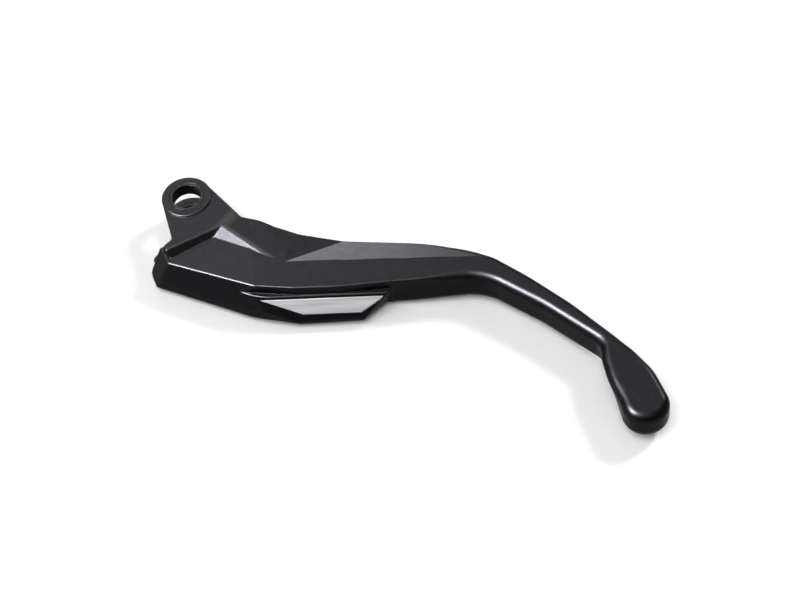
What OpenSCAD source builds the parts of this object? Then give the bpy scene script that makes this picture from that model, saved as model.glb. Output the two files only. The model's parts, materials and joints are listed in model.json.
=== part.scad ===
/* [Pivot eye] */
// Bore of the pivot bushes
pivot_bore_d = 10; // [9.5:0.1:10.5]
// Wall of a pivot bush
bush_wall = 1.0; // [0.8:0.1:1.2]
// Outer radius of the two ears
ear_r = 8.7; // [8.5:0.1:9.0]
// Height of the gap between the two ears
fork_gap = 6.4; // [6.2:0.1:6.8]
// Half height over the raised bosses
boss_half = 8.2; // [8.0:0.1:8.4]
// Half height over the arm plates
arm_half = 7.7; // [7.5:0.1:7.8]

/* [Blade] */
// Half height of the blade and its paddle
blade_half = 6.5; // [6.3:0.1:6.8]
// Slope of the facet behind the upper ridge
back_facet_slope = 15; // [12:1:18]
// Lean of the nose flank from upright
nose_lean = 22.8; // [20:0.2:24]
// Lean of the face that carries the badge
badge_lean = 37; // [36:0.5:38]
// Radius of the paddle's round end
paddle_r = 7.7; // [7.4:0.1:7.9]
// Depth of the relief along the paddle's side
relief_depth = 0.6; // [0.4:0.1:0.8]

/* [Badge] */
// Depth of the pocket that the badge is glued into
badge_pocket = 0.6; // [0.5:0.05:0.7]
// Thickness of the badge plate
badge_t = 0.6; // [0.5:0.05:0.7]
// Thickness of the adhesive pad under it
adhesive_t = 0.15; // [0.1:0.05:0.2]

/* [Push barrel] */
// Diameter of the barrel that carries the push screw
barrel_d = 8; // [7.6:0.1:8.2]
// Thread diameter of the push screw
screw_d = 5; // [4.8:0.1:5.2]
// Direction of the push screw, measured from the blade
push_angle = 62; // [58:1:66]
// Running clearance on radius
fit = 0.05; // [0.03:0.01:0.08]

/* [Stop pad] */
// Diameter of the rubber stop
pad_d = 5.4; // [5:0.1:6]
// How far the stop stands out of the nose
pad_proud = 1.2; // [0.8:0.1:1.5]

/* [Hidden] */
$fn = 96;

far = 120;
gap_half = fork_gap / 2;
bush_r = pivot_bore_d / 2 + bush_wall;
bush_recess = 0.1;
barrel_r = barrel_d / 2;
screw_r = screw_d / 2;

// Places in plan, with the pivot axis at the origin and the blade along +X
nose_tip = [-4.8, -26.1];
ridge_corner = [25.3, -38.6];
facet_tip = [35.6, -28.6];
facet_corner = [54.5, -19.2];
barrel_c = [20.5, -19];
pad_c = [-8.7, -20];

nose_heading = atan2(ridge_corner.y - nose_tip.y, ridge_corner.x - nose_tip.x);
end_heading = -66;
end_lean = 29;
ledge_z = 2.8;
ledge_y = -40.8;
badge_face_end = [70.4, -40.8];
badge_end_heading = 42;
badge_end_lean = -14;
badge_top_z = 2;
badge_drop = 5.6;

// The rubber stop: its height, its turn in plan and the stem that holds it
pad_z = -1.5;
pad_turn = 27.5;
pad_stem_r = 1.5;
pad_stem_len = 3;

// Top of the paddle's side relief, below the middle plane
relief_top = 2;

// Heights along the barrel's axis
barrel_roof = 5.5;
barrel_top = 5.4;
barrel_foot = -6.1;
clip_z = -7.0;
clip_t = 0.8;
clip_groove = 0.4;
clip_slack = 0.05;
clip_wire = 0.8;
clip_gap = 0.9;

// The nylon pellet, on the barrel's own axis
pellet_r = 1;
pellet_foot = -5.4;

// Stations along the push screw, measured from the barrel's axis
screw_back = -5;
collar_start = 5.2;
collar_end = 7.7;
cup_start = 7.8;
cup_end = 10.6;
cup_r = 2.6;
collar_flats = 5;
stem_r = 1.2;
stem_len = 2.4;
seat_r = 2.1;

function unit(v) = v / norm(v);
function turn(a) = a > 180 ? a - 360 : a < -180 ? a + 360 : a;

// Points of an arc about c, from angle a0 to a1
function arc(c, r, a0, a1, n) = [for (i = [0:n]) c + r * [cos(a0 + (a1 - a0) * i / n), sin(a0 + (a1 - a0) * i / n)]];

// Points that round the corner at b, between a and c, with radius r
function corner(a, b, c, r) =
    let (u = unit(a - b), v = unit(c - b), half = acos(u * v) / 2)
    let (m = b + unit(u + v) * r / sin(half), p = b + u * r / tan(half), q = b + v * r / tan(half))
    let (a0 = atan2(p.y - m.y, p.x - m.x), sweep = turn(atan2(q.y - m.y, q.x - m.x) - a0))
    arc(m, r, a0, a0 + sweep, max(2, ceil(abs(sweep) / 9)));

// A closed outline from corners [x, y, radius]; radius 0 keeps the corner sharp
function rounded(pts) = [
    for (i = [0:len(pts) - 1])
    let (n = len(pts), a = pts[(i + n - 1) % n], b = pts[i], c = pts[(i + 1) % n])
    for (p = b.z > 0 ? corner([a.x, a.y], [b.x, b.y], [c.x, c.y], b.z) : [[b.x, b.y]]) p
];

// The blade in plan: nose, bulge under the badge, bend, paddle and back
blade_corners = [
    [-3.9, -17.6, 0], [-8.6, -19.7, 3], [-12.9, -22.6, 1.5], [-11.3, -28.8, 1.2], [22.3, -43.1, 12],
    [39.6, -46.8, 10], [63.5, -46.3, 2], [72, -38.9, 0], [102.6, -37.9, 20], [121.5, -50.7, 60],
    [140.9, -66.8, 8], [147.4, -97.4, paddle_r], [165.2, -97.4, paddle_r], [157.2, -77.4, 20],
    [150.3, -68.3, 30], [131.4, -49.4, 80], [118, -38.0, 60], [106.3, -29.3, 12], [97.5, -24.7, 20],
    [86, -22.2, 40], [54.5, -18.9, 0], [40, -16.7, 0], [20.4, -9.6, 0], [8, -13, 0]
];
// The fork arms in plan, from the eye to the edge that bounds the back facet
arm_corners = [
    [6.5, 5.78, 0], [19.6, -9.4, 1.5], [25.5, -10.9, 12], [36, -16.0, 16],
    [facet_corner.x, facet_corner.y, 0], [facet_tip.x, facet_tip.y, 0], [26, -37, 0], [-3, -25.6, 0],
    [-7.4, -21.3, 1], [-3.9, -17.9, 2], [-8.38, -2.33, 0]
];
// The gap in plan: open at the eye and behind the barrel, with a floor ahead of both
gap_corners = [
    [-25, -13.5, 0], [3, -14.5, 5], [13, -26.5, 7.4], [29.5, -26.5, 7.4], [33, -5, 0], [33, 15, 0], [-25, 15, 0]
];
// The badge on its own face, with v up the slope
badge_corners = [[26.6, 0, 0.1], [69.3, 0, 0.3], [60.9, -badge_drop, 1.2], [41.1, -badge_drop, 2.5]];

// Half space on the right of a line in plan, where the face leans outward going down
module flank_cut(p, z, heading, lean) {
    translate([p.x, p.y, z]) rotate([0, 0, heading]) rotate([-lean, 0, 0])
        translate([-far, -far, -far]) cube([2 * far, far, 2 * far]);
}

// Half space above a plane that holds a line in plan and rises to its left
module roof_cut(p, z, heading, slope) {
    translate([p.x, p.y, z]) rotate([0, 0, heading]) rotate([slope, 0, 0])
        translate([-far, -far, 0]) cube([2 * far, 2 * far, far]);
}

// Brings flat work onto the leaning badge face: x along it, y up it, z out of it
module on_badge_face() {
    translate([0, ledge_y - (ledge_z - badge_top_z) * tan(badge_lean), badge_top_z])
        rotate([90 - badge_lean, 0, 0]) children();
}

// Brings work onto the push screw's axis: z along the push
module on_push_axis(station = 0) {
    translate([barrel_c.x, barrel_c.y, 0]) rotate([0, 0, push_angle]) translate([station, 0, 0])
        rotate([0, 90, 0]) children();
}

// Brings work onto the back of the nose: z out of it
module on_pad_face() {
    translate([pad_c.x, pad_c.y, pad_z]) rotate([0, 0, pad_turn]) rotate([-90, 0, 0]) children();
}

// Two facets behind the upper ridge that meet in a slanting valley: the saddle's end and the back
module back_facets() {
    intersection() {
        roof_cut(facet_tip, blade_half, -1, -back_facet_slope);
        roof_cut(facet_tip, blade_half, -80, -7.3);
        linear_extrude(far) polygon([[32, -34], [20, 5], [130, 5], [130, -34]]);
    }
}

// Leaning flank below the ridge of the nose
module nose_flank_cut() {
    intersection() {
        flank_cut(nose_tip, blade_half, nose_heading, nose_lean);
        translate([-far, -far, -far]) cube([far + 75, 2 * far, 2 * far]);
    }
}

// Leaning face that carries the badge, up to the ledge over it
module badge_face_cut() {
    intersection() {
        flank_cut([0, ledge_y], ledge_z, 0, badge_lean);
        translate([-far, -far, -far]) cube([far + 75, 2 * far, far + ledge_z]);
    }
}

// End of the bulge under the badge
module bulge_end_cut() {
    intersection() {
        flank_cut(badge_face_end, ledge_z, badge_end_heading, badge_end_lean);
        linear_extrude(2 * far, center = true) polygon([[60, -39.6], [76, -38.9], [76, -60], [60, -60]]);
    }
}

// Upright flank between the ledge and the ridge
module upright_flank_cut() {
    translate([0, 0, ledge_z]) linear_extrude(far) polygon([
        [15, -37.5], ridge_corner, [38.8, -40.1], [54, -40.2], [72.5, -38.9], [76, -60], [15, -60]
    ]);
}

module blade_block() {
    difference() {
        translate([0, 0, -blade_half]) linear_extrude(2 * blade_half) polygon(rounded(blade_corners));
        nose_flank_cut();
        badge_face_cut();
        bulge_end_cut();
        upright_flank_cut();
        flank_cut(nose_tip, blade_half, end_heading, end_lean);
        roof_cut(ridge_corner, blade_half, 98, -2.5);
    }
}

// Slopes where the arm plates run down to the blade and, by a step, to the nose
module arm_slopes() {
    roof_cut([14, -12], arm_half, 51.5, 2.9);
    intersection() {
        roof_cut([2, -21.2], 5.5, 27.3, 44);
        roof_cut([10.3, -17], 5.9, -30.7, 20);
    }
}

module arm_block() {
    difference() {
        translate([0, 0, -arm_half]) linear_extrude(2 * arm_half) polygon(rounded(arm_corners));
        arm_slopes();
        mirror([0, 0, 1]) arm_slopes();
        flank_cut(nose_tip, blade_half, end_heading, end_lean);
    }
}

module lever_body() {
    color([0.13, 0.13, 0.14]) difference() {
        union() {
            blade_block();
            arm_block();
            translate([0, 0, -boss_half]) cylinder(r = ear_r, h = 2 * boss_half);
        }
        back_facets();
        translate([0, 0, -gap_half]) linear_extrude(fork_gap) polygon(rounded(gap_corners));
        translate([0, 0, -far / 2]) cylinder(r = bush_r, h = far);
        barrel_seat();
        on_badge_face() translate([0, 0, -badge_pocket]) linear_extrude(far) polygon(rounded(badge_corners));
        stop_pad_seat();
        paddle_relief();
    }
}

// Bore for the barrel, blind under the upper plate, with a clip groove at its foot
module barrel_seat() {
    translate([barrel_c.x, barrel_c.y, 0]) {
        translate([0, 0, -10]) cylinder(r = barrel_r + fit, h = 10 + barrel_roof);
        translate([0, 0, clip_z]) cylinder(r = barrel_r + clip_groove, h = clip_t);
    }
}

// Spot face and blind hole for the rubber stop
module stop_pad_seat() {
    on_pad_face() {
        cylinder(r = pad_d / 2 + 0.3, h = 6);
        translate([0, 0, -pad_stem_len - 0.2]) cylinder(r = pad_stem_r, h = pad_stem_len + 1);
    }
}

// Shallow relief along the lower half of the paddle's front side
module paddle_relief() {
    translate([0, 0, -far]) linear_extrude(far - relief_top) polygon([
        [136, -69], [141.8 + relief_depth, -71], [146.0 + relief_depth, -90.9], [141, -93]
    ]);
}

module pivot_bush() {
    color([0.07, 0.07, 0.075]) translate([0, 0, gap_half]) difference() {
        cylinder(r = bush_r, h = boss_half - bush_recess - gap_half);
        translate([0, 0, -1]) cylinder(r = pivot_bore_d / 2, h = far);
    }
}

module upper_pivot_bush() {
    pivot_bush();
}

module lower_pivot_bush() {
    mirror([0, 0, 1]) pivot_bush();
}

module badge_adhesive() {
    color([0.2, 0.2, 0.2]) on_badge_face() translate([0, 0, -badge_pocket])
        linear_extrude(adhesive_t) polygon(rounded(badge_corners));
}

module badge_plate() {
    color([0.76, 0.77, 0.79]) on_badge_face() translate([0, 0, adhesive_t - badge_pocket])
        linear_extrude(badge_t) polygon(rounded(badge_corners));
}

// Mushroom-shaped rubber stop: a head on the nose and a stem pressed into it
module stop_pad() {
    color([0.1, 0.1, 0.1]) on_pad_face() {
        translate([0, 0, -pad_stem_len]) cylinder(r = pad_stem_r, h = pad_stem_len + 0.2);
        cylinder(r = pad_d / 2, h = pad_proud);
    }
}

module push_barrel() {
    color([0.72, 0.6, 0.32]) difference() {
        translate([barrel_c.x, barrel_c.y, barrel_foot]) cylinder(r = barrel_r, h = barrel_top - barrel_foot);
        on_push_axis(-far / 2) cylinder(r = screw_r + fit, h = far);
        translate([barrel_c.x, barrel_c.y, -10]) cylinder(r = pellet_r, h = 10);
    }
}

// Internal retaining ring with its gap and two plier holes
module barrel_clip() {
    ring_t = clip_t - 2 * clip_slack;
    color([0.35, 0.36, 0.38]) translate([barrel_c.x, barrel_c.y, clip_z + clip_slack]) difference() {
        union() {
            difference() {
                cylinder(r = barrel_r + clip_groove - clip_slack, h = ring_t);
                translate([0, 0, -1]) cylinder(r = barrel_r - clip_wire, h = 3);
            }
            for (side = [-1, 1]) translate([side * 1.5, -2.9, 0]) cylinder(r = 1.05, h = ring_t);
        }
        translate([-clip_gap / 2, -6, -1]) cube([clip_gap, 6, 3]);
        for (side = [-1, 1]) translate([side * 1.5, -2.7, -1]) cylinder(r = 0.5, h = 3);
    }
}

// Nylon pellet in the barrel that keeps the push screw from turning by itself
module lock_pellet() {
    color([0.9, 0.88, 0.8]) translate([barrel_c.x, barrel_c.y, pellet_foot])
        cylinder(r = pellet_r, h = -pellet_foot - screw_r - fit);
}

module push_screw() {
    color([0.62, 0.63, 0.65]) difference() {
        union() {
            on_push_axis(screw_back) cylinder(r = screw_r, h = collar_start - screw_back + 0.5);
            on_push_axis(collar_start)
                cylinder(r = collar_flats / 2 / cos(30), h = collar_end - collar_start, $fn = 6);
        }
        on_push_axis(collar_end - stem_len - 0.2) cylinder(r = stem_r + fit, h = far);
    }
}

// Cup that the push rod's ball end sits in
module push_cup() {
    color([0.75, 0.62, 0.36]) difference() {
        union() {
            on_push_axis(cup_start) cylinder(r = cup_r, h = cup_end - cup_start);
            on_push_axis(collar_end - stem_len) cylinder(r = stem_r, h = stem_len + 0.6);
        }
        on_push_axis(cup_end + 0.4) sphere(r = seat_r);
    }
}

lever_body();
upper_pivot_bush();
lower_pivot_bush();
badge_adhesive();
badge_plate();
stop_pad();
push_barrel();
barrel_clip();
lock_pellet();
push_screw();
push_cup();
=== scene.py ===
import json
import math

import bpy
import numpy as np
from mathutils import Matrix, Vector


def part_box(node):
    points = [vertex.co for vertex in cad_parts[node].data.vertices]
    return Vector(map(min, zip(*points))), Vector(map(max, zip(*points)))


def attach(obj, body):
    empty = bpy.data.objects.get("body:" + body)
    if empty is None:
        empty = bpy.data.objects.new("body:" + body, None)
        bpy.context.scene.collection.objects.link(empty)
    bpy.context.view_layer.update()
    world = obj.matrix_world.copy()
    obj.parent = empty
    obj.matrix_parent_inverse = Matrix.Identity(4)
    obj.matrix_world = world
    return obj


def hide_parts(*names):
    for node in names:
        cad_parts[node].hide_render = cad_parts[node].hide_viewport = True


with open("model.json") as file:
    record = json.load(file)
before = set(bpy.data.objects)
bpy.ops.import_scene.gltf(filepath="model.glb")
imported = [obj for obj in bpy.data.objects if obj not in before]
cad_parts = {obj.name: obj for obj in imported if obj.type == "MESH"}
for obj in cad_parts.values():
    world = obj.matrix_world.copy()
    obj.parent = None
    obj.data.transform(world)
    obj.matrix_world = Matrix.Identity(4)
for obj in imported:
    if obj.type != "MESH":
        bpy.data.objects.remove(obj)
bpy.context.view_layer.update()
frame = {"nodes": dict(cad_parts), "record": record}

nodes = frame["nodes"]
MM = 0.001

# ---------------------------------------------------------------- camera
AZIMUTH, ELEVATION, ROLL = math.radians(7), math.radians(54), math.radians(8)
FOCAL_PX, IMAGE_W, SENSOR = 2200.0, 800.0, 36.0
CAMERA_POS = Vector((0.1272, -0.4742, 0.5992))
CLIP_NEAR, CLIP_FAR = 0.01, 20


def add_camera():
    back = Vector((math.sin(AZIMUTH) * math.cos(ELEVATION),
                   -math.cos(AZIMUTH) * math.cos(ELEVATION), math.sin(ELEVATION)))
    right = Vector((math.cos(AZIMUTH), math.sin(AZIMUTH), 0))
    up = back.cross(right)
    x = math.cos(ROLL) * right - math.sin(ROLL) * up
    y = math.sin(ROLL) * right + math.cos(ROLL) * up
    data = bpy.data.cameras.new("camera")
    data.sensor_width = SENSOR
    data.lens = FOCAL_PX / IMAGE_W * SENSOR
    data.clip_start = CLIP_NEAR
    data.clip_end = CLIP_FAR
    cam = bpy.data.objects.new("camera", data)
    cam.matrix_world = Matrix((
        (x.x, y.x, back.x, CAMERA_POS.x),
        (x.y, y.y, back.y, CAMERA_POS.y),
        (x.z, y.z, back.z, CAMERA_POS.z),
        (0, 0, 0, 1)))
    bpy.context.scene.collection.objects.link(cam)
    bpy.context.scene.camera = cam


# ---------------------------------------------------------------- signed distances
# Every shape is a function of points that gives a signed distance in millimetres, negative inside.

def smax(a, b, r):
    """The larger of two distances, with the edge between them rounded to radius r."""
    r = np.maximum(r, 1e-4)
    return np.minimum(np.maximum(a, b), -r) + np.hypot(np.maximum(a + r, 0), np.maximum(b + r, 0))


def smin(a, b, r):
    """The smaller of two distances, with the inner corner between them rounded to radius r."""
    return -smax(-a, -b, r)


def ease(v, start, end):
    """Rises smoothly from 0 at start to 1 at end."""
    t = np.clip((v - start) / (end - start), 0, 1)
    return t * t * (3 - 2 * t)


class Outline:
    """Signed distance in plan to a closed outline of straight runs and rounded corners [x, y, radius]."""

    def __init__(self, corners):
        pts = np.array(corners, float)
        n = len(pts)
        area = sum(pts[i][0] * pts[(i + 1) % n][1] - pts[(i + 1) % n][0] * pts[i][1] for i in range(n))
        if area < 0:
            pts = pts[::-1]
        ends, self.arcs = [], []
        for i in range(n):
            a, b, c = pts[i - 1][:2], pts[i][:2], pts[(i + 1) % n][:2]
            r = pts[i][2]
            if r <= 0:
                ends.append((b, b))
                continue
            u, v = (a - b) / np.linalg.norm(a - b), (c - b) / np.linalg.norm(c - b)
            half = math.acos(np.clip(u @ v, -1, 1)) / 2
            middle = (u + v) / np.linalg.norm(u + v)
            centre = b + middle * r / math.sin(half)
            p, q = b + u * r / math.tan(half), b + v * r / math.tan(half)
            convex = 1.0 if u[0] * v[1] - u[1] * v[0] < 0 else -1.0
            self.arcs.append((centre, r, -middle, math.cos(math.pi / 2 - half), convex))
            ends.append((p, q))
        self.runs = [(ends[i - 1][1], ends[i][0]) for i in range(n)
                     if np.linalg.norm(ends[i][0] - ends[i - 1][1]) > 1e-6]

    def __call__(self, x, y):
        best = np.full(x.shape, 1e9)
        side = np.zeros(x.shape)
        for a, b in self.runs:
            d = b - a
            length = np.linalg.norm(d)
            d = d / length
            px, py = x - a[0], y - a[1]
            s = py * d[0] * -1 + px * d[1]
            t = np.clip(px * d[0] + py * d[1], 0, length)
            dist = np.hypot(px - t * d[0], py - t * d[1])
            # where two runs meet they are equally near, and the one seen more squarely gives the sign
            better = (dist < best - 1e-7) | ((dist < best + 1e-7) & (np.abs(s) > np.abs(side)))
            best = np.where(better, np.minimum(dist, best), best)
            side = np.where(better, s, side)
        for c, r, middle, reach, convex in self.arcs:
            px, py = x - c[0], y - c[1]
            rho = np.hypot(px, py)
            within = px * middle[0] + py * middle[1] >= reach * rho - 1e-9
            s = (rho - r) * convex
            dist = np.where(within, np.abs(rho - r), 1e9)
            better = dist < best + 1e-7
            best = np.where(better, dist, best)
            side = np.where(better, s, side)
        return np.where(side > 0, best, -best)


class Plane:
    """Signed distance to a plane through p; it leans across its heading by tilt_side and up by tilt_up."""

    def __init__(self, p, heading, tilt_side, tilt_up):
        h = math.radians(heading)
        self.n = (-math.sin(h) * tilt_side, math.cos(h) * tilt_side, tilt_up)
        self.p = p

    def __call__(self, x, y, z):
        return (x - self.p[0]) * self.n[0] + (y - self.p[1]) * self.n[1] + (z - self.p[2]) * self.n[2]


def flank(p, z, heading, lean):
    """A side face that runs along heading and leans back from upright by lean degrees."""
    a = math.radians(lean)
    return Plane((p[0], p[1], z), heading, -math.cos(a), math.sin(a))


def roof(p, z, heading, slope):
    """A top face that falls away across heading by slope degrees."""
    a = math.radians(slope)
    return Plane((p[0], p[1], z), heading, -math.sin(a), math.cos(a))


def frustum(rho, along, start, end, radius, chamfer, edge):
    """A cylinder along its own axis with chamfered and slightly rounded ends."""
    past_end = np.maximum(start - along, along - end)
    d = smax(rho - radius, past_end, edge)
    cone = (rho - radius + chamfer + past_end) * math.sqrt(0.5)
    return smax(d, cone, edge)


# ---------------------------------------------------------------- lever body
BLADE_HALF, ARM_HALF, BOSS_HALF, GAP_HALF = 6.5, 7.7, 8.2, 3.2    # half heights
EAR_R, PADDLE_R = 8.7, 7.7
LINER_R, LINER_BORE_R, LINER_INSET = 6.0, 5.0, 0.02
NOSE_TIP, RIDGE_CORNER = (-4.8, -26.1), (25.3, -38.6)
FACET_TIP, FACET_CORNER = (35.6, -28.6), (54.5, -19.2)
FRONT_END = 75.0                                  # the leaning front faces stop here
OVERHANG, OVERHANG_FROM, OVERHANG_FULL = 1.7, -3, 5   # paddle's upper inner edge, and its heights
RELIEF, RELIEF_TOP = 0.6, 2.0
LEDGE_Y, LEDGE_Z = -40.8, 2.8
BULGE_X, BULGE_REACH, BULGE_Y = 68, 8, 39.2
BADGE_LEAN, BADGE_TOP, BADGE_POCKET = 37.0, 2.0, 0.6    # the lean is in degrees from upright
BADGE_PROUD, BADGE_DEPTH, BADGE_PLAY = 0.15, 0.45, 0.06
BARREL_C, SEAT_R, SEAT_TOP = (20.5, -19.0), 4.05, 5.5
CLIP_Z, GROOVE_R, GROOVE_HALF = 6.6, 4.4, 0.4
PAD_C, PAD_Z, PAD_TURN, PAD_R = (-8.7, -20.0), -1.5, math.radians(27.5), 2.7
PAD_PLAY, STEM_R, STEM_HOLE_DEPTH = 0.3, 1.5, 3.2

blade_outline = Outline([
    (-3.9, -17.6, 0), (-8.6, -19.7, 3), (-12.9, -22.6, 1.5), (-11.3, -28.8, 1.2), (22.3, -43.1, 12),
    (39.6, -46.8, 10), (63.5, -46.3, 2), (72, -38.9, 0), (102.6, -37.9, 20), (121.5, -50.7, 60),
    (140.9, -66.8, 8), (147.4, -97.4, PADDLE_R), (165.2, -97.4, PADDLE_R), (157.2, -77.4, 20),
    (150.3, -68.3, 30), (131.4, -49.4, 80), (118, -38.0, 60), (106.3, -29.3, 40), (97.5, -24.7, 30),
    (86, -22.2, 40), (54.5, -18.9, 0), (40, -16.7, 0), (20.4, -9.6, 0), (8, -13, 0)])
arm_outline = Outline([
    (6.5, 5.78, 0), (19.6, -9.4, 1.5), (25.5, -10.9, 12), (36, -16.0, 16), FACET_CORNER + (0,),
    FACET_TIP + (0,), (26, -37, 0), (-3, -25.6, 0), (-7.4, -21.3, 1), (-3.9, -17.9, 2), (-8.38, -2.33, 0)])
gap_outline = Outline([
    (-25, -13.5, 0), (3, -14.5, 5), (13, -26.5, 7.4), (29.5, -26.5, 7.4), (33, -5, 0), (33, 15, 0),
    (-25, 15, 0)])
badge_outline = Outline([(26.6, 0, 0.1), (69.3, 0, 0.3), (60.9, -5.6, 1.2), (41.1, -5.6, 2.5)])
upright_outline = Outline([
    (15, -37.5, 0), RIDGE_CORNER + (0,), (38.8, -40.1, 0), (54, -40.2, 0), (72.5, -38.9, 0),
    (76, -60, 0), (15, -60, 0)])
relief_outline = Outline([
    (136, -69, 0), (142.4 + RELIEF, -71, 0), (146.9 + RELIEF, -90.9, 0), (141, -93, 0)])

nose_heading = math.degrees(math.atan2(RIDGE_CORNER[1] - NOSE_TIP[1], RIDGE_CORNER[0] - NOSE_TIP[0]))
nose_flank = flank(NOSE_TIP, BLADE_HALF, nose_heading, 22.8)
nose_end = flank(NOSE_TIP, BLADE_HALF, -66, 29)
badge_face = flank((0, LEDGE_Y), LEDGE_Z, 0, BADGE_LEAN)
bulge_end = flank((70.4, -40.8), LEDGE_Z, 42, -14)
nose_top = roof(RIDGE_CORNER, BLADE_HALF, 98, -2.5)
back_facet = roof(FACET_TIP, BLADE_HALF, -1, -15)
saddle_end = roof(FACET_TIP, BLADE_HALF, -80, -7.3)
arm_top = roof((14, -12), ARM_HALF, 51.5, 2.9)
step_riser = roof((2, -21.2), 5.5, 27.3, 44)
step_side = roof((10.3, -17), 5.9, -30.7, 20)


def badge_frame(p):
    """Place on the leaning front face: up it from the badge's top edge, and out of it."""
    face_y = LEDGE_Y - (LEDGE_Z - BADGE_TOP) * math.tan(math.radians(BADGE_LEAN))
    lean = math.radians(90 - BADGE_LEAN)
    y, z = p[:, 1] - face_y, p[:, 2] - BADGE_TOP
    return y * math.cos(lean) + z * math.sin(lean), -y * math.sin(lean) + z * math.cos(lean)


def stop_frame(p):
    """Distance out along the stop's axis, and distance from that axis."""
    px, py = p[:, 0] - PAD_C[0], p[:, 1] - PAD_C[1]
    along = -px * math.sin(PAD_TURN) + py * math.cos(PAD_TURN)
    return along, np.hypot(px * math.cos(PAD_TURN) + py * math.sin(PAD_TURN), p[:, 2] - PAD_Z)


def barrel_radius(p):
    return np.hypot(p[:, 0] - BARREL_C[0], p[:, 1] - BARREL_C[1])


def blade_distance(x, y, z):
    bend = ease(x, 76, 98)
    paddle = ease(-y, 62, 88)
    overhang = OVERHANG * ease(-y, 63, 74) * (1 - ease(-y, 78, 92)) * (1 - ease(x, 144, 152))
    side = blade_outline(x + overhang * ease(z, OVERHANG_FROM, OVERHANG_FULL), y)
    front = np.minimum(nose_flank(x, y, z), FRONT_END - x)
    low = np.minimum(np.minimum(badge_face(x, y, z), FRONT_END - x), LEDGE_Z - z)
    end = np.minimum(np.minimum(bulge_end(x, y, z), -(y + BULGE_Y)), BULGE_REACH - np.abs(x - BULGE_X))
    high = np.minimum(z - LEDGE_Z, -upright_outline(x, y))
    for face, edge in ((low, 0.5), (front, 1.2), (end, 0.1), (high, 0.25), (nose_end(x, y, z), 0.5)):
        side = smax(side, face, edge)
    # the blade's edges grow rounder along the bend and the paddle
    under = 2.2 + 1.6 * bend + 1.9 * paddle
    over = 0.45 + 2.5 * bend + 0.2 * paddle
    valley = smin(back_facet(x, y, z), saddle_end(x, y, z), 0.05)
    top = np.maximum(np.maximum(z - BLADE_HALF, nose_top(x, y, z)), valley)
    return smax(smax(side, -BLADE_HALF - z, under), top, over), valley


def arm_distance(x, y, z):
    """Both fork arms, which mirror each other about the middle plane."""
    az = np.abs(z)
    arm = smax(arm_outline(x, y), az - ARM_HALF, 0.4)
    arm = smax(arm, arm_top(x, y, az), 0.02)
    step = smin(step_riser(x, y, az), step_side(x, y, az), 0.3)
    arm = smax(arm, step, 0.3)
    return smax(arm, nose_end(x, y, z), 0.4)


def lever_distance(p):
    x, y, z = p[:, 0], p[:, 1], p[:, 2]
    az = np.abs(z)
    rho = np.hypot(x, y)
    blade, valley = blade_distance(x, y, z)
    ear = smax(rho - EAR_R, az - BOSS_HALF, 0.45)
    body = np.minimum(np.minimum(blade, arm_distance(x, y, z)), ear)
    body = np.maximum(body, valley)
    # fork gap, pivot bore, barrel seat and the clip's groove
    body = smax(body, -np.maximum(gap_outline(x, y), az - GAP_HALF), 0.3)
    body = smax(body, LINER_R - rho, 0.03)
    seat = barrel_radius(p)
    body = smax(body, -np.maximum(seat - SEAT_R, z - SEAT_TOP), 0.2)
    body = np.maximum(body, -np.maximum(seat - GROOVE_R, np.abs(z + CLIP_Z) - GROOVE_HALF))
    # pocket for the badge
    up, out = badge_frame(p)
    body = smax(body, -np.maximum(badge_outline(x, up), -out - BADGE_POCKET), 0.12)
    # spot face and hole for the stop
    along, across = stop_frame(p)
    body = smax(body, -np.maximum(across - PAD_R - PAD_PLAY, -along), 0.12)
    body = np.maximum(body, -np.maximum(across - STEM_R, -along - STEM_HOLE_DEPTH))
    # relief along the paddle
    return smax(body, -np.maximum(relief_outline(x, y), z + RELIEF_TOP), 0.15)


# ---------------------------------------------------------------- liners, badge and stop
LINER_HALF = (BOSS_HALF - LINER_INSET - GAP_HALF) / 2
LINER_Z = (BOSS_HALF - LINER_INSET + GAP_HALF) / 2


def liner_distance(centre_z):
    def distance(p):
        rho = np.hypot(p[:, 0], p[:, 1])
        h = np.abs(p[:, 2] - centre_z) - LINER_HALF
        return smax(smax(rho - LINER_R, h, 0.03), LINER_BORE_R - rho, 0.06)
    return distance


def badge_distance(p):
    up, out = badge_frame(p)
    plan = badge_outline(p[:, 0], up) + BADGE_PLAY
    return smax(plan, np.maximum(out - BADGE_PROUD, -BADGE_DEPTH - out), 0.12)


HEAD_HEIGHT, RING_R, RING_OUT, RING_DEPTH = 1.2, 1.5, 1.3, 0.28


def pad_distance(p):
    along, across = stop_frame(p)
    head = smax(across - PAD_R, np.maximum(along - HEAD_HEIGHT, -along), 0.35)
    ring = np.hypot(across - RING_R, along - RING_OUT) - RING_DEPTH
    stem = frustum(across, along, -3.0, 0.2, STEM_R, 0.3, 0.1)
    return np.minimum(smax(head, -ring, 0.08), stem)


# ---------------------------------------------------------------- barrel, clip, pellet, screw and cup
# "along" is measured on the push axis from the barrel's centre.
PUSH_ANGLE, PITCH, THREAD_R, THREAD_DEPTH = math.radians(62), 0.8, 2.5, 0.49
THREAD_PLAY, THREAD_CREST, THREAD_FLANK = 0.05, 0.22, 0.6
BARREL_R, BARREL_LOW, BARREL_HIGH, MOUTH_R = 4.0, -6.1, 5.4, 2.9
PELLET_R, PELLET_LOW, PELLET_HIGH = 1.0, -5.4, -2.55
RING_OUTER, RING_INNER, RING_HALF, RING_GAP_HALF = 4.35, 3.2, 0.35, 0.45
LUG_X, LUG_Y, LUG_R, HOLE_Y, HOLE_R = 1.5, 2.9, 1.05, 2.7, 0.5
SHANK_START, SHANK_END, TIP_R = -5.0, 5.4, 1.9
COLLAR_START, COLLAR_END, COLLAR_FLATS, COLLAR_R = 5.2, 7.7, 2.5, 2.62
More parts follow.
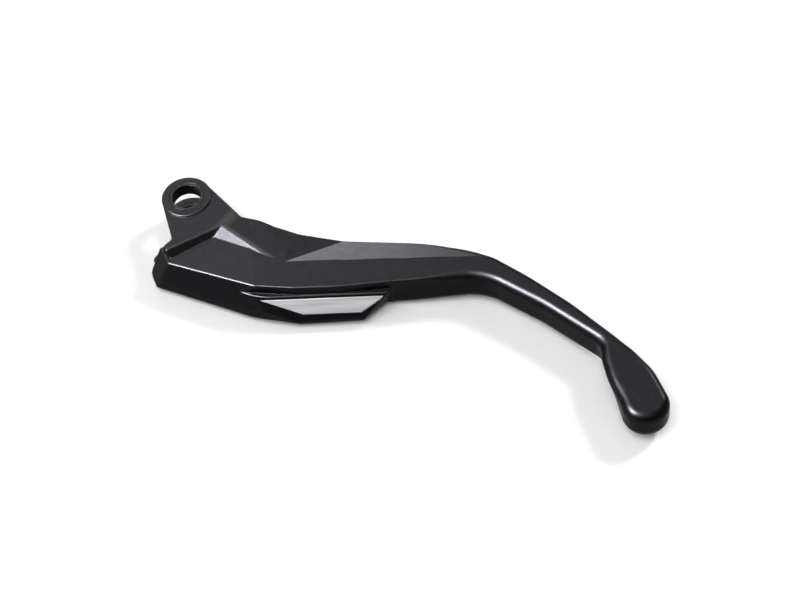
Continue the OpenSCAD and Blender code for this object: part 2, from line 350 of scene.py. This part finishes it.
SOCKET_R, SOCKET_START = 1.25, 5.1
CUP_R, CUP_GROOVE, CUP_GROOVE_R, BALL_R, BALL_AT = 2.6, 8.9, 2.4, 2.1, 11.0


def push_axis(p):
    """Distance along the push screw, distance from its axis, and turn about it."""
    px, py = p[:, 0] - BARREL_C[0], p[:, 1] - BARREL_C[1]
    along = px * math.cos(PUSH_ANGLE) + py * math.sin(PUSH_ANGLE)
    across = -px * math.sin(PUSH_ANGLE) + py * math.cos(PUSH_ANGLE)
    return along, np.hypot(across, p[:, 2]), np.arctan2(p[:, 2], across)


def thread_radius(along, turn, crest):
    """Radius of an M5 thread; it winds by one pitch a turn."""
    phase = along / PITCH - turn / (2 * math.pi)
    ridge = np.abs(phase - np.floor(phase) - 0.5) * 2
    return crest - THREAD_DEPTH * (1 - np.clip((ridge - THREAD_CREST) / THREAD_FLANK, 0, 1))


def screw_distance(p):
    along, rho, turn = push_axis(p)
    shank = (rho - thread_radius(along, turn, THREAD_R)) * 0.6
    shank = smax(shank, (rho - TIP_R - (along - SHANK_START)) * math.sqrt(0.5), 0.05)
    shank = smax(shank, np.maximum(SHANK_START - along, along - SHANK_END), 0.05)
    flats = np.max([np.abs(np.cos(turn - a)) for a in (0, math.pi / 3, 2 * math.pi / 3)], 0) * rho
    collar = smax(flats - COLLAR_FLATS, np.maximum(COLLAR_START - along, along - COLLAR_END), 0.05)
    middle, half = (COLLAR_START + COLLAR_END) / 2, (COLLAR_END - COLLAR_START) / 2
    # 30 degree chamfer on the hexagon's corners
    collar = smax(collar, (rho - COLLAR_R) * 0.5 + (np.abs(along - middle) - half) * 0.866, 0.05)
    return smax(np.minimum(shank, collar), -np.maximum(rho - SOCKET_R, SOCKET_START - along), 0.05)


def cup_distance(p):
    along, rho, _ = push_axis(p)
    cup = frustum(rho, along, 7.8, 10.6, CUP_R, 0.25, 0.08)
    stem = frustum(rho, along, 5.3, 8.3, 1.2, 0.2, 0.05)
    groove = np.maximum(np.abs(along - CUP_GROOVE) - 0.2, CUP_GROOVE_R - rho)
    cup = smax(np.minimum(cup, stem), -groove, 0.05)
    return smax(cup, BALL_R - np.hypot(rho, along - BALL_AT), 0.12)


def barrel_distance(p):
    along, rho, turn = push_axis(p)
    around = barrel_radius(p)
    barrel = frustum(around, p[:, 2], BARREL_LOW, BARREL_HIGH, BARREL_R, 0.35, 0.08)
    bore = (rho - thread_radius(along, turn, THREAD_R + THREAD_PLAY)) * 0.6
    mouth = (rho - MOUTH_R + (BARREL_R - np.abs(along))) * math.sqrt(0.5)
    barrel = smax(barrel, -np.minimum(bore, mouth), 0.06)
    return smax(barrel, -np.maximum(around - PELLET_R, p[:, 2]), 0.06)


def pellet_distance(p):
    return frustum(barrel_radius(p), p[:, 2], PELLET_LOW, PELLET_HIGH, PELLET_R, 0.15, 0.05)


def clip_distance(p):
    x, y = p[:, 0] - BARREL_C[0], p[:, 1] - BARREL_C[1]
    around = np.hypot(x, y)
    lug = np.hypot(np.abs(x) - LUG_X, y + LUG_Y) - LUG_R
    plan = smin(np.maximum(around - RING_OUTER, RING_INNER - around), lug, 0.3)
    plan = smax(plan, -np.maximum(np.abs(x) - RING_GAP_HALF, y), 0.1)
    plan = np.maximum(plan, HOLE_R - np.hypot(np.abs(x) - LUG_X, y + HOLE_Y))
    return smax(plan, np.abs(p[:, 2] + CLIP_Z) - RING_HALF, 0.08)


# ---------------------------------------------------------------- meshes from distances
BLOCK, BLOCK_REACH, PARTS = 4, 1.35, 12
ROUNDS, EVEN_OUT, PULL, LONGEST_MOVE, LEAST_SLOPE = 6, (1, 2, 3), 0.5, 0.3, 0.25


def slope(f, p, h=0.02):
    """Gradient of f at each point."""
    g = np.empty_like(p)
    for a in range(3):
        q = p.copy()
        q[:, a] += h
        hi = f(q)
        q[:, a] -= 2 * h
        g[:, a] = (hi - f(q)) / (2 * h)
    return g


def surface_net(f, lo, hi, step):
    """Quads on the surface f = 0, from a grid of that step that is only worked out near the surface."""
    lo, hi = np.array(lo, float), np.array(hi, float)
    blocks = np.ceil((hi - lo) / (step * BLOCK)).astype(int)
    cells = blocks * BLOCK
    centre = np.stack(np.meshgrid(*[(np.arange(b) + 0.5) * BLOCK * step for b in blocks], indexing="ij"), -1)
    coarse = f(centre.reshape(-1, 3) + lo).reshape(blocks)
    near = np.abs(coarse) < BLOCK_REACH * BLOCK * step
    grid = np.ones(cells + 1, np.float32)
    fill = np.where(coarse < 0, -1.0, 1.0).astype(np.float32)
    grid[:-1, :-1, :-1] = fill.repeat(BLOCK, 0).repeat(BLOCK, 1).repeat(BLOCK, 2)
    wanted = np.zeros(cells + 1, bool)
    for i, j, k in np.argwhere(near) * BLOCK:
        wanted[i:i + BLOCK + 1, j:j + BLOCK + 1, k:k + BLOCK + 1] = True
    idx = np.argwhere(wanted)
    values = np.concatenate([f(lo + part * step) for part in np.array_split(idx, PARTS)])
    values[np.abs(values) < 1e-6] = 1e-6
    grid[tuple(idx.T)] = values
    inside = grid < 0
    corner = [(a, b, c) for a in (0, 1) for b in (0, 1) for c in (0, 1)]
    count = sum(inside[a:a + cells[0], b:b + cells[1], c:c + cells[2]].astype(np.int8) for a, b, c in corner)
    # one vertex in each cell that the surface crosses, at the mean of its edges' crossings
    mixed = np.argwhere((count > 0) & (count < 8))
    total, hits = np.zeros((len(mixed), 3)), np.zeros(len(mixed))
    for a in corner:
        for axis in range(3):
            if a[axis]:
                continue
            b = np.array(a)
            b[axis] = 1
            fa = grid[tuple((mixed + a).T)]
            fb = grid[tuple((mixed + b).T)]
            cross = (fa < 0) != (fb < 0)
            t = np.where(cross, fa / np.where(cross, fa - fb, 1), 0)
            point = np.repeat(np.array(a, float)[None], len(mixed), 0)
            point[:, axis] += t
            total += point * cross[:, None]
            hits += cross
    verts = (mixed + total / hits[:, None]) * step + lo
    number = np.full(cells + 1, -1, np.int64)
    number[tuple(mixed.T)] = np.arange(len(mixed))
    # one quad round each grid edge that the surface crosses
    quads = []
    for axis in range(3):
        u, v = (axis + 1) % 3, (axis + 2) % 3
        a = [slice(1, -1)] * 3
        b = [slice(1, -1)] * 3
        a[axis], b[axis] = slice(0, -1), slice(1, None)
        first, second = inside[tuple(a)], inside[tuple(b)]
        at = np.argwhere(first != second)
        flip = first[tuple(at.T)]
        at += 1
        at[:, axis] -= 1
        du, dv = np.zeros(3, int), np.zeros(3, int)
        du[u], dv[v] = 1, 1
        ring = [number[tuple((at - o).T)] for o in (du + dv, dv, 0 * du, du)]
        quad = np.stack(ring, 1)
        quad[~flip] = quad[~flip][:, ::-1]
        quads.append(quad)
    return verts, np.concatenate(quads)


def settle(f, verts, quads):
    """Moves the vertices onto the surface and evens out their spacing along it."""
    edges = np.concatenate([quads[:, [0, 1]], quads[:, [1, 2]], quads[:, [2, 3]], quads[:, [3, 0]]])
    degree = np.bincount(edges.ravel(), minlength=len(verts)).astype(float)
    for turn in range(ROUNDS):
        g = slope(f, verts)
        size = np.maximum((g ** 2).sum(1), LEAST_SLOPE)
        verts = verts - g * np.clip(f(verts) / size, -LONGEST_MOVE, LONGEST_MOVE)[:, None]
        if turn in EVEN_OUT:
            total = np.zeros_like(verts)
            for a in range(3):
                total[:, a] = (np.bincount(edges[:, 0], verts[edges[:, 1], a], len(verts))
                               + np.bincount(edges[:, 1], verts[edges[:, 0], a], len(verts)))
            pull = total / degree[:, None] - verts
            n = g / np.sqrt((g ** 2).sum(1) + 1e-12)[:, None]
            verts = verts + PULL * (pull - n * (pull * n).sum(1)[:, None])
    return verts


def convexity(f, p, h=0.16):
    """How sharply the surface bends outwards at each point: 0 on flats, 1 on a tight edge."""
    total = -6 * f(p)
    for a in range(3):
        for sign in (-h, h):
            q = p.copy()
            q[:, a] += sign
            total += f(q)
    return np.clip(0.8 * total / h ** 2, 0, 1)


def add_mesh(name, verts, quads, normals, body, stands_for, slot):
    mesh = bpy.data.meshes.new(name)
    mesh.from_pydata(verts.tolist(), [], quads.tolist())
    mesh.validate()
    mesh.polygons.foreach_set("use_smooth", [True] * len(mesh.polygons))
    mesh.normals_split_custom_set_from_vertices(normals)
    obj = bpy.data.objects.new(name, mesh)
    bpy.context.scene.collection.objects.link(obj)
    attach(obj, body)
    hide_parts(stands_for)
    dress(obj, slot)
    return obj


def carve(name, distance, node, body, slot, step):
    """A piece whose surface is where distance() is 0, in place of a CAD node."""
    lo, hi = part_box(node)
    margin = 4 * step
    verts, quads = surface_net(distance, [v / MM - margin for v in lo], [v / MM + margin for v in hi], step)
    verts = settle(distance, verts, quads)
    normals = slope(distance, verts, step / 16)
    normals /= np.sqrt((normals ** 2).sum(1) + 1e-12)[:, None]
    obj = add_mesh(name, verts * MM, quads, normals, body, node, slot)
    # how sharply each point bends outwards; the black coat uses it for its painted edge highlight
    edge = obj.data.attributes.new("edge", "FLOAT", "POINT")
    edge.data.foreach_set("value", convexity(distance, verts))


# ---------------------------------------------------------------- materials
def material(name, color, roughness, metallic=0.0):
    mat = bpy.data.materials.new("finish_" + name)
    mat.use_nodes = True
    tree = mat.node_tree
    shader = tree.nodes["Principled BSDF"]
    shader.inputs["Base Color"].default_value = (*color, 1)
    shader.inputs["Roughness"].default_value = roughness
    shader.inputs["Metallic"].default_value = metallic
    return mat, tree, shader


def noise(tree, coords, scale, detail, stretch=None):
    node = tree.nodes.new("ShaderNodeTexNoise")
    node.inputs["Scale"].default_value = scale
    node.inputs["Detail"].default_value = detail
    if stretch:
        mapping = tree.nodes.new("ShaderNodeMapping")
        mapping.inputs["Scale"].default_value = stretch
        tree.links.new(coords, mapping.inputs["Vector"])
        coords = mapping.outputs["Vector"]
    tree.links.new(coords, node.inputs["Vector"])
    return node.outputs["Fac"]


def ramp(tree, value, start, first, end, last):
    """Colour that goes from first, where value is start, to last, where it is end."""
    node = tree.nodes.new("ShaderNodeValToRGB")
    for element, position, color in zip(node.color_ramp.elements, (start, end), (first, last)):
        element.position = position
        element.color = color
    tree.links.new(value, node.inputs["Fac"])
    return node.outputs["Color"]


def grey(v):
    return (v, v, v, 1)


def object_coords(tree):
    return tree.nodes.new("ShaderNodeTexCoord").outputs["Object"]


def bump(tree, shader, height, strength, distance):
    node = tree.nodes.new("ShaderNodeBump")
    node.inputs["Strength"].default_value = strength
    node.inputs["Distance"].default_value = distance
    tree.links.new(height, node.inputs["Height"])
    tree.links.new(node.outputs["Normal"], shader.inputs["Normal"])


GRAIN_LOW, GRAIN_HIGH = 0.3, 0.7        # the part of the noise's range that the ramps spread out
GRAIN_BUMP = 0.3
FINE_DEPTH, COARSE_DEPTH = 0.00001, 0.00003    # metres
COAT_DARK, COAT_LIGHT = (0.0076, 0.0075, 0.0084, 1), (0.0096, 0.0095, 0.0105, 1)
# the coat turns towards this lighter grey on tight convex edges: a painted highlight, not wear
COAT_EDGE_SHEEN, EDGE_START, EDGE_SHOW = (0.30, 0.30, 0.31, 1), 0.15, 0.02
COAT_SMOOTH, COAT_ROUGH, COAT_TINT, COAT_BUMP = 0.30, 0.35, 0.62, 0.05
COAT_CLOUD, COAT_MOTTLE, COAT_GRAIN = 300, 900, 3800


def black_coat():
    """Satin black; metallic and tinted, so it stays dark at grazing angles, and lighter on tight edges as a
    painted highlight.
    """
    mat, tree, shader = material("black_coat", (0.0085, 0.0085, 0.009), 0.27, 1.0)
    at = object_coords(tree)
    edge = tree.nodes.new("ShaderNodeAttribute")
    edge.attribute_name = "edge"
    mix = tree.nodes.new("ShaderNodeMix")
    mix.data_type = "RGBA"
    # painted highlight: the base colour grows lighter where the surface bends tightly outwards
    painted_edge_sheen = ramp(tree, edge.outputs["Fac"], EDGE_START, grey(0), 1.0, grey(EDGE_SHOW))
    base = ramp(tree, noise(tree, at, COAT_MOTTLE, 3), GRAIN_LOW, COAT_DARK, GRAIN_HIGH, COAT_LIGHT)
    tree.links.new(painted_edge_sheen, mix.inputs["Factor"])
    tree.links.new(base, mix.inputs["A"])
    mix.inputs["B"].default_value = COAT_EDGE_SHEEN
    tree.links.new(mix.outputs["Result"], shader.inputs["Base Color"])
    cloud = noise(tree, at, COAT_CLOUD, 4)
    rough = ramp(tree, cloud, GRAIN_LOW, grey(COAT_SMOOTH), GRAIN_HIGH, grey(COAT_ROUGH))
    tree.links.new(rough, shader.inputs["Roughness"])
    shader.inputs["Specular Tint"].default_value = grey(COAT_TINT)
    bump(tree, shader, noise(tree, at, COAT_GRAIN, 2), COAT_BUMP, FINE_DEPTH)
    return mat


def plain(name, color, rough, metallic, scale, depth=FINE_DEPTH, stretch=None, gloss=0.5):
    """A finish with fine grain: colour and roughness vary a little, and the grain shows as bump."""
    mat, tree, shader = material(name, color, rough, metallic)
    grain = noise(tree, object_coords(tree), scale, 3, stretch)
    dark = (*(c * 0.86 for c in color), 1)
    light = (*(min(1, c * 1.1) for c in color), 1)
    tree.links.new(ramp(tree, grain, GRAIN_LOW, dark, GRAIN_HIGH, light), shader.inputs["Base Color"])
    spread = ramp(tree, grain, GRAIN_LOW, grey(rough * 0.85), GRAIN_HIGH, grey(min(1, rough * 1.15)))
    tree.links.new(spread, shader.inputs["Roughness"])
    bump(tree, shader, grain, GRAIN_BUMP, depth)
    shader.inputs["Specular IOR Level"].default_value = gloss
    return mat


# slot: colour, roughness, metallic, grain scale, and what differs from plain()'s defaults
PLAIN_FINISHES = {
    "bush_polymer": ((0.0055, 0.0055, 0.006), 0.3, 0.0, 1500, {"gloss": 0.1}),
    "adhesive": ((0.05, 0.05, 0.05), 0.8, 0.0, 2500, {"depth": COARSE_DEPTH, "gloss": 0.1}),
    "badge_silver": ((0.47, 0.48, 0.49), 0.42, 0.15, 900, {"stretch": (0.05, 1, 1)}),
    "stop_rubber": ((0.014, 0.014, 0.014), 0.72, 0.0, 2200, {"depth": COARSE_DEPTH, "gloss": 0.08}),
    "bearing_brass": ((0.72, 0.50, 0.20), 0.3, 1.0, 1400, {"stretch": (1, 1, 12)}),
    "spring_steel": ((0.09, 0.09, 0.095), 0.42, 0.8, 2000, {}),
    "zinc_steel": ((0.6, 0.61, 0.63), 0.28, 1.0, 1200, {}),
    "nylon": ((0.74, 0.7, 0.6), 0.5, 0.0, 1500, {"gloss": 0.2}),
}
materials = {"black_coat": black_coat()}
for slot, (color, rough, metallic, scale, extra) in PLAIN_FINISHES.items():
    materials[slot] = plain(slot, color, rough, metallic, scale, **extra)


def dress(obj, slot):
    obj.data.materials.clear()
    obj.data.materials.append(materials[slot])


# ---------------------------------------------------------------- build
FINE = 1.0
# name, distance, CAD node it replaces, body, slot and grid step in mm
PIECES = (
    ("lever_forging", lever_distance, "lever_body", "lever", "black_coat", 0.34),
    ("pivot_liner_upper", liner_distance(LINER_Z), "upper_pivot_bush", "lever", "bush_polymer", 0.2),
    ("pivot_liner_lower", liner_distance(-LINER_Z), "lower_pivot_bush", "lever", "bush_polymer", 0.2),
    ("badge_plain", badge_distance, "badge_plate", "lever", "badge_silver", 0.22),
    ("stop_button", pad_distance, "stop_pad", "lever", "stop_rubber", 0.14),
    ("retaining_ring", clip_distance, "barrel_clip", "lever", "spring_steel", 0.1),
    ("swivel_barrel", barrel_distance, "push_barrel", "barrel", "bearing_brass", 0.15),
    ("thread_pellet", pellet_distance, "lock_pellet", "barrel", "nylon", 0.12),
    ("threaded_push_screw", screw_distance, "push_screw", "screw", "zinc_steel", 0.11),
    ("ball_cup", cup_distance, "push_cup", "cup", "bearing_brass", 0.12),
)

add_camera()
for name, distance, node, body, slot, step in PIECES:
    carve(name, distance, node, body, slot, step * FINE)
for part in frame["record"]["subparts"]:
    dress(nodes[part["node"]], part["material_slot"])

# ---------------------------------------------------------------- floor and light
FLOOR_GAP, FLOOR_HALF = 0.03, 3.0       # mm below the lever, m
CENTRE = Vector((0.08, -0.04, 0))       # what the lamps are aimed at
WORLD_STRENGTH = 0.24
# name, azimuth and elevation in degrees, distance and size in metres, power in watts
FLOOR_LAMPS = (
    ("key", 34, 42, 1.6, 0.32, 13.5),
    ("fill", 250, 66, 1.6, 1.0, 17),
)
GLOSS_LAMPS = (
    ("back_low", 104, 21, 0.7, 0.26, 6.2),
    ("back_high", 95, 56, 0.7, 0.75, 4.2),
    ("nose_glint", 124, 52, 0.7, 0.12, 0.3),
    ("front_right", 310, 60, 0.7, 0.4, 0.5),
    ("right", 44, 28, 0.7, 0.2, 3.2),
    ("left_glint", 190, 60, 0.7, 0.25, 42),
    ("ridge_glint", 208, 47, 0.7, 0.15, 7),
)


def add_floor():
    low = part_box("lever_body")[0].z - FLOOR_GAP * MM
    mesh = bpy.data.meshes.new("floor")
    s = FLOOR_HALF
    mesh.from_pydata([(-s, -s, low), (s, -s, low), (s, s, low), (-s, s, low)], [], [(0, 1, 2, 3)])
    obj = bpy.data.objects.new("floor", mesh)
    bpy.context.scene.collection.objects.link(obj)
    mat, _, shader = material("floor", (0.97, 0.97, 0.975), 0.6)
    shader.inputs["Specular IOR Level"].default_value = 0.2
    mesh.materials.append(mat)


def add_lamp(name, azimuth, elevation, distance, size, power):
    az, el = math.radians(azimuth), math.radians(elevation)
    towards = Vector((math.cos(az) * math.cos(el), math.sin(az) * math.cos(el), math.sin(el)))
    at = CENTRE + distance * towards
    data = bpy.data.lights.new(name, "AREA")
    data.energy = power
    data.shape = "SQUARE"
    data.size = size
    obj = bpy.data.objects.new(name, data)
    obj.location = at
    obj.rotation_euler = (CENTRE - at).to_track_quat("-Z", "Y").to_euler()
    bpy.context.scene.collection.objects.link(obj)
    return obj


def add_world():
    world = bpy.data.worlds.new("studio")
    bpy.context.scene.world = world
    world.use_nodes = True
    background = world.node_tree.nodes["Background"]
    background.inputs["Color"].default_value = grey(1)
    background.inputs["Strength"].default_value = WORLD_STRENGTH


add_floor()
add_world()
# The world, a hard key for the shadow and a broad fill light the floor; the two lamps stay out of the gloss.
for lamp in FLOOR_LAMPS:
    add_lamp(*lamp).visible_glossy = False
# These show in gloss only.
for lamp in GLOSS_LAMPS:
    add_lamp(*lamp).visible_diffuse = False

bpy.context.scene.view_settings.view_transform = "Standard"
bpy.context.scene.view_settings.look = "None"
